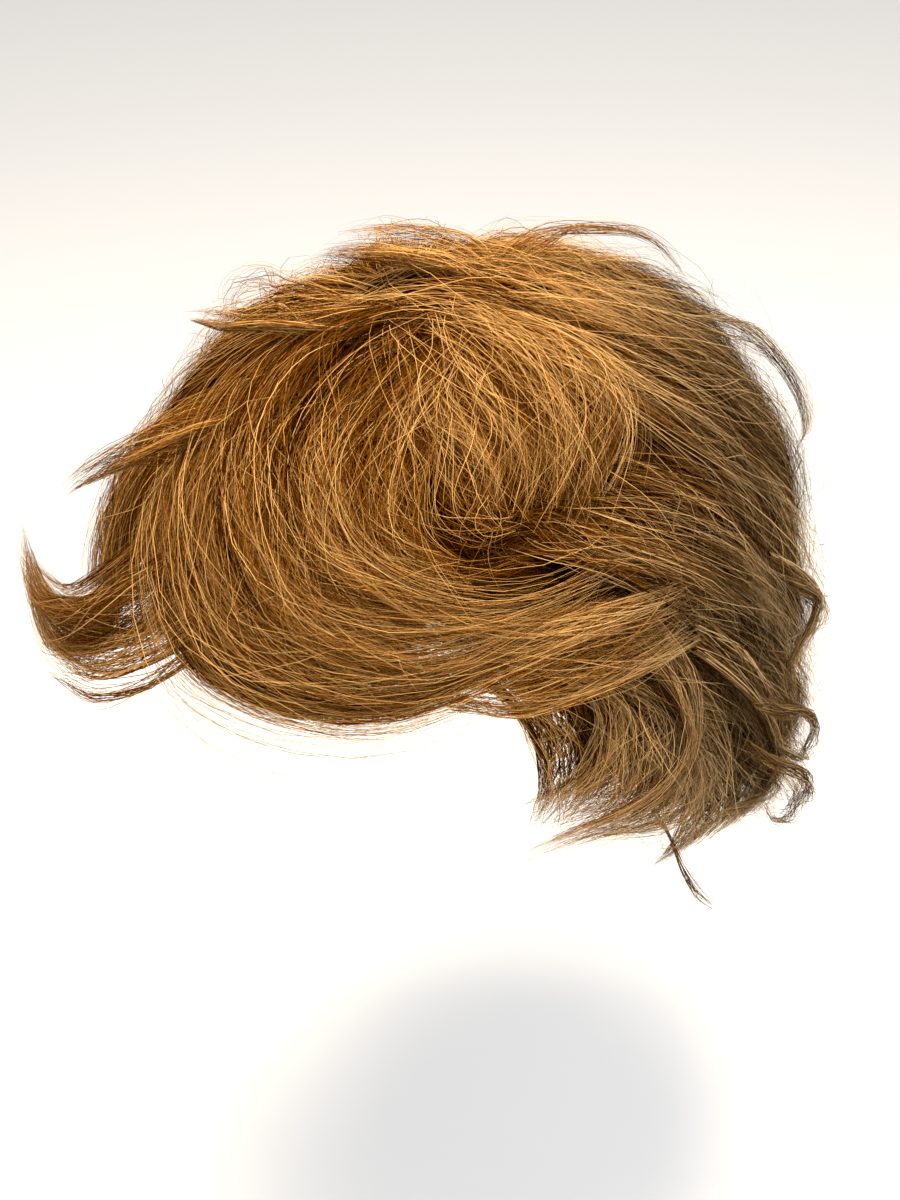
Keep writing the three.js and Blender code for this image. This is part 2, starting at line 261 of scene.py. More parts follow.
# From the darkest strands to the lightest. The ash brown ramp is painted cool light: the gold hair as it
# looks in the cool light on the wearer's left and back.
GOLDEN = [(0.009, 0.0010, 0.0001), (0.188, 0.061, 0.0044), (0.72, 0.41, 0.140)]
COOL_LIT_BROWN = [(0.008, 0.0020, 0.0002), (0.108, 0.053, 0.0150), (0.47, 0.315, 0.155)]

# Strands lie in three manners: broad dark ribbons low in a sweep, fine strands over it, and stray ones that
# stand clear. Their tones paint shade on the low ribbons and light on the stray ones. Depth is in halves of
# the sweep's thickness, lean in degrees, sway, curl and width in metres.
MANNERS = {
    "under": {
        "share": 0.22, "in_a_wisp": 5, "depth": (-1.6, 0.5), "lean": 5,
        "sway": 0.0018, "curl": 0.0014, "turns": 1.0, "detail": 0.75, "beyond": -0.4, "short": 0.15,
        "width": 0.0010, "tone": 0.22,
    },
    "over": {
        "share": 0.63, "in_a_wisp": 5, "depth": (-0.3, 1.2), "lean": 9,
        "sway": 0.0028, "curl": 0.0030, "turns": 1.2, "detail": 1.0, "beyond": -0.4, "short": 0,
        "width": 0.00021, "tone": 0.41,
    },
    "stray": {
        "share": 0.15, "in_a_wisp": 1.4, "depth": (0.5, 1.9), "lean": 15,
        "sway": 0.005, "curl": 0.0055, "turns": 1.3, "detail": 1.3, "beyond": 0.2, "short": 0,
        "width": 0.00017, "tone": 0.66,
    },
}

# A pad spans degrees around the head and degrees down from the crown. A sweep is a row of locks side by
# side between its first and its last edge, and a station is degrees to the left of the crown, degrees to
# the front and millimetres above the scalp. thick is in millimetres, free is how far the locks part, gather
# and point how far the locks and their strands draw together at the tip, reach how much of its length each
# edge runs, and light, shade and tips the tone of the whole, the roots and the ends. shade is painted shade
# at the roots, and below zero painted light there; light lifts the whole sweep's tone, and below zero
# lowers it, in part as painted highlight on the crown and curls and as painted shade in the hollow where
# the swoop meets the side hair; tips lightens the ends, and below zero darkens them.
CROWN_PAD = {"from": -180, "to": 180, "top": 0.5, "low": 30}
CROWN_SWEEPS = {
    "over_the_top": {
        "locks": 6, "thick": 9, "free": 0.2, "gather": 0,
        "strands": 3200, "spans": 11, "root": 0.1, "loose": 1, "wave": 0.003, "spill": (0.5, 0.5),
        "reach": (1.04, 1.04), "point": 0.3, "light": 0.12, "shade": -0.26, "tips": -0.26,
        "first": [(3, 6, 6), (20, 3, 12), (38, -10, 16), (54, -28, 20), (67, -46, 20)],
        "last": [(-5, 0, 6), (-8, -13, 8), (-10, -32, 10), (-12, -53, 14), (-14, -73, 16)],
    },
    "to_the_right": {
        "locks": 6, "thick": 9, "free": 0.25, "gather": 0,
        "strands": 2100, "spans": 10, "root": 0.1, "loose": 1, "wave": 0.001, "spill": (0.5, 0.5),
        "reach": (1.04, 1.04), "point": 0.4, "light": 0.03, "shade": 0.1, "tips": 0.14,
        "first": [(-6, 11, 6), (-20, 24, 17), (-37, 36, 26), (-51, 44, 31), (-64, 46, 33)],
        "last": [(-8, 1, 6), (-14, -13, 9), (-20, -33, 12), (-26, -53, 15), (-31, -72, 16)],
    },
    "whorl": {
        "locks": 4, "thick": 9, "free": 0.15, "gather": 0.1,
        "strands": 1800, "spans": 12, "root": 0.1, "loose": 1.1, "wave": 0, "spill": (0.6, 1.0),
        "reach": (1.02, 1.02), "point": 0.2, "light": 0.12, "shade": 0.3, "tips": -0.06,
        "first": [(4, 8, 6), (15, 6, 14), (28, 5, 20), (38, 9, 22), (46, 23, 18)],
        "last": [(-3, 13, 6), (5, 20, 10), (17, 25, 13), (29, 26, 15), (39, 30, 15)],
    },
    "cover": {
        "locks": 4, "thick": 6, "free": 0.2, "gather": 0,
        "strands": 950, "spans": 11, "root": 0.0, "loose": 1.3, "wave": 0, "spill": (0.6, 0.6),
        "reach": (1.04, 1.04), "point": 0.2, "light": 0.3, "shade": 0.0, "tips": 0.14,
        "first": [(-18, 25, 12), (-8, 17, 12), (5, 10, 14), (19, 3, 16), (35, -8, 19)],
        "last": [(-16, -6, 12), (-8, -12, 12), (2, -17, 13), (14, -23, 14), (27, -33, 15)],
    },
}
CROWN_WISPS = {
    "top_tuft": {
        "strands": 260, "spread": 4, "light": 0.14, "point": 0.6,
        "stations": [(4, -4, 8), (-1, 0, 16), (-6, 5, 21), (-12, 9, 25), (-20, 11, 28)],
    },
    "right_tip": {
        "strands": 130, "spread": 1.5, "light": 0.1, "point": 0.8,
        "stations": [(-2, 12, 8), (-4, 24, 20), (-9, 29, 30), (-14, 32, 36), (-22, 32, 40)],
    },
    "right_loop": {
        "strands": 40, "spread": 1.0, "light": 0.1, "point": 0.8,
        "stations": [(-5, 14, 8), (-13, 22, 26), (-16, 24, 34), (-18, 27, 36), (-15, 31, 33)],
    },
    "high_loop": {
        "strands": 70, "spread": 1.5, "light": 0.1, "point": 0.8,
        "stations": [(0, 3, 8), (5, -6, 23), (11, -12, 31), (15, -20, 33), (20, -28, 27)],
    },
    "back_loop": {
        "strands": 90, "spread": 1.5, "light": 0.1, "point": 0.8,
        "stations": [(20, -26, 18), (25, -40, 27), (33, -50, 31), (40, -50, 31), (46, -44, 28)],
    },
}


def route(stations, along):
    """A smooth line through a lock's stations, at shares of its length"""
    stations = np.array(stations, float)
    spans = len(stations) - 1
    knots = np.vstack([2 * stations[0] - stations[1], stations, 2 * stations[-1] - stations[-2]])
    span = np.clip(np.floor(along * spans).astype(int), 0, spans - 1)
    step = (along * spans - span)[..., None]
    before, start, end, after = (knots[span + number] for number in range(4))
    slope = end - before
    bend = 2 * before - 5 * start + 4 * end - after
    twist = 3 * start - before - 3 * end + after
    return start + 0.5 * step * (slope + step * (bend + step * twist))


def comb(sweep, share, along):
    """Points on the middle of a sweep, the way out of it there, and its breadth for a whole share"""
    def lie(share, along):
        drawn = share + (0.5 - share) * sweep["gather"] * along**2
        first, last = route(sweep["first"], along), route(sweep["last"], along)
        side, front, lift = np.moveaxis(first + (last - first) * drawn[..., None], -1, 0)
        return scalp(side, front, np.maximum(lift * MM, ROOT_LIFT))

    middle = lie(share, along)
    ahead = lie(share, along + NEAR) - lie(share, along - NEAR)
    aside = lie(share + NEAR, along) - lie(share - NEAR, along)
    out = np.cross(ahead, aside)
    out /= np.linalg.norm(out, axis=-1, keepdims=True)
    out *= np.sign(np.sum(out * (middle - HEAD_CENTRE)))
    return middle, out, np.linalg.norm(aside, axis=-1) / (2 * NEAR)


def half_depth(sweep, share, along):
    """Half of a sweep's depth, and how far it stands proud: full on a lock's ridge, thin in a hollow"""
    place = share * (sweep["locks"] - 1)
    lock = np.clip(np.round(place), 0, sweep["locks"] - 1)
    hollow = np.clip(2 * np.abs(place - lock), 0, 1)
    full = ROOT_DEPTH + (1 - ROOT_DEPTH) * smooth(along / FULL_BY)
    full = full * (1 - TIP_THINNED * np.clip(along, 0, 1) ** 3)
    half = sweep["thick"] * MM / 2 * full * (1 - (1 - HOLLOW) * hollow)
    proud = PROUD * (lock % 2) * (1 - hollow) * smooth(along / PROUD_BY)
    return half, proud, hollow


def closed_sheet(outer, inner):
    """One closed body between two matching grids of points, as points and quads"""
    loop = np.concatenate([outer, inner[:, ::-1]], 1)
    rows, across = loop.shape[:2]
    cell = np.arange(rows)[:, None] * across + np.arange(across)[None, :]
    sides = np.stack([cell[:-1], np.roll(cell[:-1], -1, 1), np.roll(cell[1:], -1, 1), cell[1:]], -1)
    half = across // 2
    ends = []
    for row in (cell[0], cell[-1][::-1]):
        under = row[::-1]
        ends.append(np.stack([row[:half - 1], under[:half - 1], under[1:half], row[1:half]], -1))
    return loop.reshape(-1, 3), np.concatenate([sides.reshape(-1, 4), *ends])


def spread_over(rows, across):
    """Places on the bake map for a sheet of points, in rows"""
    place = np.meshgrid(np.linspace(*SHEET_EDGES, across), np.linspace(*SHEET_EDGES, rows))
    return np.stack(place, -1).reshape(-1, 2)


def root_pad(pad, rng):
    """The close bed of cut roots that a section grows from, over its part of the cap, kept dark as painted
    shade at the roots
    """
    around = np.radians(np.linspace(pad["from"], pad["to"], PAD_COLUMNS))[None, :]
    low = np.minimum(pad["low"], rim_down(np.degrees(around)))
    down = pad["top"] + (low - pad["top"]) * np.linspace(0, 1, PAD_ROWS)[:, None]
    side, front = down * np.sin(around), down * np.cos(around)
    inner, outer = (scalp(side, front, 0 * down + lift) for lift in PAD_LIFTS)
    points, quads = closed_sheet(outer, inner)
    tones = rng.uniform(*PAD_SHADE_TONES, len(points))
    across = 2 * PAD_COLUMNS
    fibres = np.broadcast_to(np.arange(across) * LOCK_FIBRES / LOCK_COLUMNS, (PAD_ROWS, across))
    return points, quads, spread_over(PAD_ROWS, across), tones, fibres.ravel()


def painted_shade_mass(sweep, rng):
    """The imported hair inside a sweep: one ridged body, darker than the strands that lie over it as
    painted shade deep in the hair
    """
    last = sweep["locks"] - 1
    share = np.linspace(-MASS_EDGE, last + MASS_EDGE, LOCK_COLUMNS * sweep["locks"] + 1)[None, :] / last
    step = np.linspace(0, MASS_REACH, MASS_ROWS)[:, None]
    share, step = np.broadcast_arrays(share, step)
    along = step - sweep["free"] * half_depth(sweep, share, step)[2] * step**3
    half, proud, _ = half_depth(sweep, share, along / MASS_REACH)
    middle, out, _ = comb(sweep, share, along)
    outer = middle + out * (proud + MASS_DEPTH * half)[..., None]
    inner = middle + out * (proud - MASS_DEPTH * half)[..., None]
    points, quads = closed_sheet(outer, inner)
    across = 2 * share.shape[1]
    streak = np.broadcast_to(rng.uniform(*MASS_SHADE_TONES, across), (MASS_ROWS, across))
    fibres = np.concatenate([share, share[:, ::-1]], 1) * sweep["locks"] * LOCK_FIBRES
    return points, quads, spread_over(MASS_ROWS, across), streak.ravel(), fibres.ravel()


def ripple(rng, number, step, size, turns):
    """A gentle random wave for each of a number of strands, still at the root and growing to the tip"""
    size = np.abs(rng.normal(0, size, number)) + RIPPLE["least"] * size
    turn = 2 * math.pi * rng.uniform(*RIPPLE["turns"], number)[:, None] * turns * step
    phase = rng.uniform(0, 2 * math.pi, number)[:, None]
    return size[:, None] * (np.sin(turn + phase) - np.sin(phase)) * step ** RIPPLE["growth"]


def hold(share, sweep, beyond):
    """Turns strands that would leave a sweep back over it, or lets a share of their way out stand"""
    low, high = np.array(sweep["spill"]) / (sweep["locks"] - 1)
    inside = np.clip(share, -low, 1 + high)
    return inside + beyond * (share - inside)


def lay_wisps(sweep, rng, manner, wisps):
    """Where each wisp of a sweep lies: its lock, how far off the ridge and how deep, and where it runs"""
    on_ridge = rng.random(wisps) < WISP["on_ridge"]
    stray = np.where(on_ridge, rng.normal(0, WISP["ridge_spread"], wisps), rng.uniform(-0.5, 0.5, wisps))
    lock = rng.integers(0, sweep["locks"], wisps)
    depth = rng.uniform(*manner["depth"], wisps)
    buried = rng.random(wisps) < WISP["buried"]
    later = WISP["buried_start"] * rng.beta(1, WISP["start_bias"], wisps)
    start = np.where(buried, later, -sweep["root"] * rng.random(wisps))
    reach = np.interp((lock + stray) / (sweep["locks"] - 1), (0, 1), sweep["reach"])
    stop = reach - manner["short"] - WISP["cut_back"] * rng.beta(1, WISP["cut_bias"], wisps)
    return {"lock": lock, "stray": stray, "depth": depth, "buried": buried, "start": start, "stop": stop}


def wander(sweep, rng, manner, wisps, wisp, lock, step):
    """Each strand's lean from its way in degrees, and its drift to the side and lift along its length"""
    strands = len(wisp)
    lean = rng.normal(0, manner["lean"], (wisps, 1))[wisp] + rng.normal(0, WISP["lean"], (strands, 1))
    sway, curl = sweep["loose"] * manner["sway"], sweep["loose"] * manner["curl"]
    drift = ripple(rng, wisps, step, sway, RIPPLE["wisp_turns"])[wisp]
    drift = drift + ripple(rng, strands, step, curl, manner["turns"])
    swing = 2 * math.pi * WAVE_TURNS * step + rng.uniform(0, 2 * math.pi, sweep["locks"])[lock]
    lift = ripple(rng, wisps, step, RIPPLE["lift_sway"] * sway, RIPPLE["lift_turns"])[wisp]
    lift = lift + ripple(rng, strands, step, RIPPLE["lift_curl"] * curl, manner["turns"])
    drawn_in = 1 - sweep["point"] * step**2
    wave = sweep["wave"] * step
    return lean, drawn_in * drift + wave * np.sin(swing), drawn_in * lift + wave * np.cos(swing)


def ribbons(line, out, rng, width, step):
    """Each strand as a narrow flat ribbon along its line, rolled a little and narrower at the tip"""
    ahead = np.gradient(line, axis=1)
    ahead /= np.linalg.norm(ahead, axis=-1, keepdims=True)
    flat = np.cross(ahead, out)
    flat /= np.linalg.norm(flat, axis=-1, keepdims=True)
    roll = rng.normal(0, RIBBON["roll"], (len(line), 1, 1))
    flat = flat * np.cos(roll) + np.cross(ahead, flat) * np.sin(roll)
    widths = width * rng.uniform(*RIBBON["widths"], (len(line), 1)) * (1 - RIBBON["narrowed"] * step**3)
    reach = flat * widths[..., None] / 2
    return np.stack([line - reach, line + reach], 2)


def strand_tones(sweep, rng, manner, wisps, wisp, laid, hollow, step):
    """How light each strand is along its length: painted light when it lies high, painted shade when it
    lies low, in a hollow and near its roots
    """
    tone = manner["tone"] + sweep["light"] + TONE["depth"] * laid["depth"]
    tone = tone + rng.normal(0, TONE["wisp"], (wisps, 1))[wisp]
    tone = tone + rng.normal(0, TONE["strand"], (len(wisp), 1))
    patch = np.sin(TONE["patch_each_lock"] * laid["lock"] + TONE["patch_along"] * step)
    tone = tone + TONE["patch"] * patch - TONE["hollow"] * hollow
    return np.clip(tone - sweep["shade"] * (1 - step) ** 3 + sweep["tips"] * step**2, 0, 1)


def strand_cells(strands, step):
    """Places on the bake map for strands, each in a small cell of its own"""
    cells = math.ceil(math.sqrt(strands))
    number = np.arange(strands)[:, None, None]
    along = CELL_ALONG[0] + (CELL_ALONG[1] - CELL_ALONG[0]) * step[..., None]
    place = (number % cells + np.array(CELL_ACROSS)) / cells, (number // cells + along) / cells
    return np.stack(np.broadcast_arrays(*place), -1)


def draw_strands(sweep, rng, manner, strands):
    """Fine strands along a sweep in wisps, laid in the manner given: how loose, how deep and how light"""
    spans = round(sweep["spans"] * manner["detail"])
    step = np.linspace(0, 1, spans + 1)[None, :]
    wisps = max(2, int(strands / manner["in_a_wisp"]))
    wisp = rng.integers(0, wisps, strands)
    laid = {name: row[wisp][:, None] for name, row in lay_wisps(sweep, rng, manner, wisps).items()}
    lean, drift, lift = wander(sweep, rng, manner, wisps, wisp, laid["lock"], step)

    spread = np.sqrt(rng.random((strands, 1)))
    angle = rng.uniform(0, 2 * math.pi, (strands, 1))
    start = laid["start"] + rng.uniform(0, WISP["starts_over"], (strands, 1))
    stop = laid["stop"] - rng.uniform(0, WISP["stops_over"], (strands, 1))
    taper = 1 - WISP["taper"] * step**2
    drawn_in = 1 - sweep["point"] * step**2
    place = laid["lock"] + laid["stray"] * drawn_in + WISP["width"] * spread * np.cos(angle) * taper
    share = place / (sweep["locks"] - 1)
    along = start + (stop - start) * step
    held_back = half_depth(sweep, share, along)[2] * np.clip(along, 0, 1) ** 3
    along = along - WISP["free"] * sweep["free"] * held_back
    middle, _, breadth = comb(sweep, share, along)
    run = np.linalg.norm(np.diff(middle, axis=1), axis=-1).sum(1)[:, None] * step
    aside = drift + drawn_in * np.tan(np.radians(lean)) * run
    share = hold(share + aside / breadth, sweep, manner["beyond"])

    half, proud, hollow = half_depth(sweep, share, along)
    middle, out, _ = comb(sweep, share, along)
    sunk = laid["buried"] * (1 - smooth(step / WISP["buried_by"]))
    rise = laid["depth"] * half + proud - sunk * (half + WISP["buried_clear"])
    rise = rise + WISP["depth"] * spread * np.sin(angle) * taper
    line = middle + out * (np.maximum(lift, WISP["deepest"] * half) + rise)[..., None]
    points = ribbons(line, out, rng, manner["width"], step)
    tones = strand_tones(sweep, rng, manner, wisps, wisp, laid, hollow, step)

    low, high = np.array(cad_box[0]) - LOOSE_ENDS, np.array(cad_box[1]) + LOOSE_ENDS
    kept = ((points > low) & (points < high)).all((1, 2, 3))
    points, strands = points[kept], int(kept.sum())
    tones = np.repeat(tones[kept][..., None], 2, 2)
    corner = np.arange(points.size // 3).reshape(strands, spans + 1, 2)
    quads = np.stack([corner[:, :-1, 0], corner[:, :-1, 1], corner[:, 1:, 1], corner[:, 1:, 0]], -1)
    places = strand_cells(strands, step)
    fibre = rng.uniform(0, FIBRE_RANGE, (strands, 1, 1)) + np.array([0, manner["width"] / FIBRE])
    fibres = np.broadcast_to(fibre, tones.shape)
    return points.reshape(-1, 3), quads.reshape(-1, 4), places.reshape(-1, 2), tones.ravel(), fibres.ravel()


def drawn_hair(name):
    """Hair from its darkest strands to its lightest, gold turning to an ash brown of painted cool light,
    with a fine streak along each strand whose dark lows are painted shade between fibres
    """
    material = bpy.data.materials.new(name)
    material.use_nodes = True
    nodes, links = material.node_tree.nodes, material.node_tree.links
    shader = nodes["Principled BSDF"]
    shader.inputs["Roughness"].default_value = 0.45
    shader.inputs["Specular IOR Level"].default_value = 0.0
    tone = nodes.new("ShaderNodeAttribute")
    tone.attribute_name = "tone"
    fibre = nodes.new("ShaderNodeAttribute")
    fibre.attribute_name = "fibre"
    # The streak varies the tone along each fibre, and its dark lows are painted shade in the gaps between
    # fibres
    streak = nodes.new("ShaderNodeTexNoise")
    streak.noise_dimensions = "1D"
    streak.inputs["Scale"].default_value = 1
    streak.inputs["Detail"].default_value = 1
    links.new(fibre.outputs["Fac"], streak.inputs["W"])
    centred = nodes.new("ShaderNodeMath")
    centred.operation = "SUBTRACT"
    centred.inputs[1].default_value = 0.5
    links.new(streak.outputs["Fac"], centred.inputs[0])
    mixed = nodes.new("ShaderNodeMath")
    mixed.operation = "MULTIPLY_ADD"
    mixed.inputs[1].default_value = FIBRE_CONTRAST
    links.new(centred.outputs[0], mixed.inputs[0])
    links.new(tone.outputs["Fac"], mixed.inputs[2])
    ramps = []
    for shades in (GOLDEN, COOL_LIT_BROWN):
        ramp = nodes.new("ShaderNodeValToRGB")
        ramp.color_ramp.elements.new(SHADE_PLACES[1])
        for element, place, shade in zip(ramp.color_ramp.elements, SHADE_PLACES, shades):
            element.position = place
            element.color = (*shade, 1.0)
        links.new(mixed.outputs[0], ramp.inputs["Fac"])
        ramps.append(ramp)
    cool_lit = nodes.new("ShaderNodeAttribute")
    cool_lit.attribute_name = "cool_lit"
    colour = nodes.new("ShaderNodeMix")
    colour.data_type = "RGBA"
    links.new(cool_lit.outputs["Fac"], colour.inputs["Factor"])
    links.new(ramps[0].outputs["Color"], colour.inputs["A"])
    links.new(ramps[1].outputs["Color"], colour.inputs["B"])
    links.new(colour.outputs["Result"], shader.inputs["Base Color"])
    return material


def wisp_sweep(wisp):
    """A single fly-away wisp as a narrow sweep about its stations"""
    stations = np.array(wisp["stations"], float)
    side, front, _ = np.gradient(stations, axis=0).T
    aside = np.stack([-front, side, 0 * side], -1) * (wisp["spread"] / np.hypot(side, front))[:, None]
    # A wisp's roots are darkened a little as painted shade, and its ends lightened
    return {
        "locks": 2, "thick": 5, "free": 0, "gather": wisp["point"],
        "spans": 13, "root": 0, "loose": 0.6, "wave": 0, "spill": (0.2, 0.2),
        "reach": (1.04, 1.04), "point": wisp["point"], "light": wisp["light"], "shade": 0.1, "tips": 0.14,
        "first": stations - aside,
        "last": stations + aside,
    }


def hair_piece(name, pad, sweeps, wisps, seed, cool_lit):
    """A section's pad, painted-shade masses and strands as one piece, turning from gold to an ash brown of
    painted cool light across the head
    """
    rng = np.random.default_rng(seed)
    parts = [root_pad(pad, rng)]
    for sweep in sweeps.values():
        thick = sweep["thick"] if sweep["gather"] < GATHERED else 0
        if thick > MASS_ABOVE:
            parts.append(painted_shade_mass(sweep, rng))
        for kind in ("under", "over", "stray") if thick > RIBBONS_ABOVE else ("over", "stray"):
            strands = int(sweep["strands"] * MANNERS[kind]["share"])
            parts.append(draw_strands(sweep, rng, MANNERS[kind], strands))
    for wisp in wisps.values():
        parts.append(draw_strands(wisp_sweep(wisp), rng, MANNERS["over"], wisp["strands"]))
    points, quads, places, tones, fibres = zip(*parts)
    counts = np.cumsum([0] + [len(part) for part in points])
    quads = np.concatenate([part + count for part, count in zip(quads, counts)])
    strip = 1 / len(parts)
    places = np.concatenate([(part + [0, number]) * [1, strip] for number, part in enumerate(places)])
    points = np.concatenate(points)
    # The hair turns from gold to ash brown along this way: painted cool light on the wearer's left and back
    cool_lit_share = smooth((points @ COOL_LIT_WAY - cool_lit[0]) / (cool_lit[1] - cool_lit[0]))
    shades = {"tone": np.concatenate(tones), "fibre": np.concatenate(fibres), "cool_lit": cool_lit_share}
    return mesh_from(name, points, quads, places, shades)


golden_hair = drawn_hair("golden_hair")
crown = hair_piece("crown_strands", CROWN_PAD, CROWN_SWEEPS, CROWN_WISPS, seed=11, cool_lit=(0.015, 0.085))
crown.data.materials.append(golden_hair)
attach(crown, "root")
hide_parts("crown_hair")

# Fringe
# A deep golden fringe tied along the hairline, swept from the right temple across the brow in one swoop to
# the left ear, with a shorter fall on the right and a flick that curls up at the temple. A thin veil of
# strands hides where it meets the crown.
FRINGE_PAD = {"from": -48, "to": 48, "top": 30.5, "low": 180}
FRINGE_SWEEPS = {
    "swoop": {
        "locks": 6, "thick": 9, "free": 0.09, "gather": 0,
        "strands": 3360, "spans": 12, "root": 0.35, "loose": 1.15, "wave": 0, "spill": (0.3, 0.4),
        "reach": (1.12, 0.68), "point": 0.15, "light": -0.04, "shade": 0.28, "tips": 0.2,
        "first": [(-6, 33, 6), (-12, 54, 26), (6, 74, 25), (43, 62, 20), (68, 14, 20)],
        "last": [(12, 31, 6), (10, 40, 19), (23, 50, 22), (45, 42, 22), (61, 14, 19)],
    },
    "heart": {
        "locks": 2, "thick": 9, "free": 0.2, "gather": 0,
        "strands": 700, "spans": 12, "root": 0.3, "loose": 1.3, "wave": 0, "spill": (0.8, 0.8),
        "reach": (1.16, 1.16), "point": 0.2, "light": -0.16, "shade": 0.25, "tips": -0.1,
        "first": [(17, 29, 6), (18, 36, 13), (26, 42, 16), (37, 41, 16), (46, 30, 14)],
        "last": [(25, 25, 6), (28, 29, 10), (33, 33, 12), (38, 32, 12), (43, 26, 11)],
    },
    "fall": {
        "locks": 3, "thick": 9, "free": 0.25, "gather": 0,
        "strands": 1350, "spans": 11, "root": 0.45, "loose": 1, "wave": 0, "spill": (0.6, 0.2),
        "reach": (1.04, 1.04), "point": 0.35, "light": -0.02, "shade": 0.15, "tips": 0.14,
        "first": [(-2, 34, 6), (-7, 50, 19), (-5, 62, 22), (2, 71, 21), (16, 74, 18)],
        "last": [(-22, 25, 6), (-36, 42, 25), (-46, 55, 33), (-52, 67, 37), (-54, 76, 36)],
    },
    "flip": {
        "locks": 2, "thick": 12, "free": 0.12, "gather": 0.75,
        "strands": 1000, "spans": 14, "root": 0.1, "loose": 0.5, "wave": 0, "spill": (0.2, 0.2),
        "reach": (1.04, 1.04), "point": 0.8, "light": 0.08, "shade": 0.1, "tips": 0.14,
        "first": [(-20, 28, 6), (-26, 52, 28), (-34, 70, 26), (-48, 71, 46), (-49, 61, 62)],
        "last": [(-24, 26, 6), (-32, 54, 30), (-36, 77, 30), (-52, 77, 53), (-51, 60, 63)],
    },
    "veil": {
        "locks": 4, "thick": 4, "free": 0.2, "gather": 0,
        "strands": 900, "spans": 13, "root": 0.0, "loose": 1.2, "wave": 0, "spill": (0.6, 0.6),
        "reach": (1.04, 1.04), "point": 0.1, "light": 0.0, "shade": 0.3, "tips": 0.14,
        "first": [(-6, 14, 13), (-10, 34, 25), (-2, 55, 31), (20, 66, 29), (46, 56, 26)],
        "last": [(12, 10, 15), (15, 22, 19), (19, 34, 23), (28, 44, 25), (42, 42, 25)],
    },
}
FRINGE_WISPS = {
    "brow_tip": {
        "strands": 130, "spread": 1.5, "light": 0.1, "point": 0.8,
        "stations": [(-3, 33, 10), (-8, 44, 30), (-12, 51, 41), (-18, 55, 46), (-27, 58, 49)],
    },
    "swoop_end": {
        "strands": 240, "spread": 5, "light": 0.24, "point": 0.25,
        "stations": [(44, 53, 20), (55, 43, 23), (62, 29, 25), (66, 16, 26), (68, 3, 26)],
    },
    "flip_base": {
        "strands": 320, "spread": 5, "light": 0.16, "point": 0.6,
        "stations": [(10, 54, 26), (-5, 70, 30), (-22, 77, 38), (-42, 75, 49), (-50, 67, 60)],
    },
    "flip_heart": {
        "strands": 260, "spread": 6, "light": 0.1, "point": 0.7,
        "stations": [(6, 50, 25), (-4, 61, 28), (-14, 70, 31), (-34, 75, 42), (-50, 65, 61)],
    },
    "under_flip": {
        "strands": 40, "spread": 0.7, "light": 0.1, "point": 0.8,
        "stations": [(8, 70, 28), (-4, 80, 34), (-20, 85, 40), (-38, 84, 47), (-50, 80, 57)],
    },
}
fringe = hair_piece("fringe_strands", FRINGE_PAD, FRINGE_SWEEPS, FRINGE_WISPS, seed=12, cool_lit=(0.02, 0.08))
fringe.data.materials.append(golden_hair)
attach(fringe, "root")
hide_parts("fringe")

